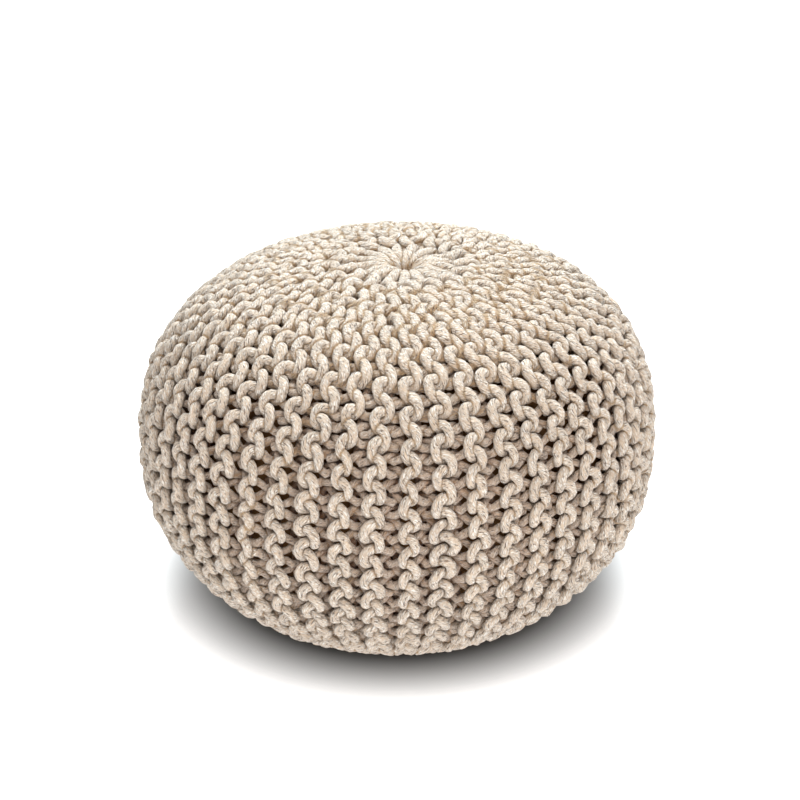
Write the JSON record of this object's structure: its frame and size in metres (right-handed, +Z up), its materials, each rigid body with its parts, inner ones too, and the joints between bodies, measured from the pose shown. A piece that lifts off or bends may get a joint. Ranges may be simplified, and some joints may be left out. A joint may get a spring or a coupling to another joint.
{
  "type": "knitted pouf",
  "caption": "Round filled floor pouf with a cover knitted in thick rope, ridges running from a gather on top over the sides.",
  "frame": {"origin": "centre of the footprint, on the floor under the pouf", "axes": "+Z up through the gather on top, the shortest extent; -Y faces the front view and +X is to its right"},
  "size_m": [0.4993, 0.4954, 0.3679],
  "materials": {
    "cotton_rope": "matte knitted cotton rope"
  },
  "bodies": {
    "root": {"pouf_knit": "cotton_rope"}
  },
  "joints": []
}
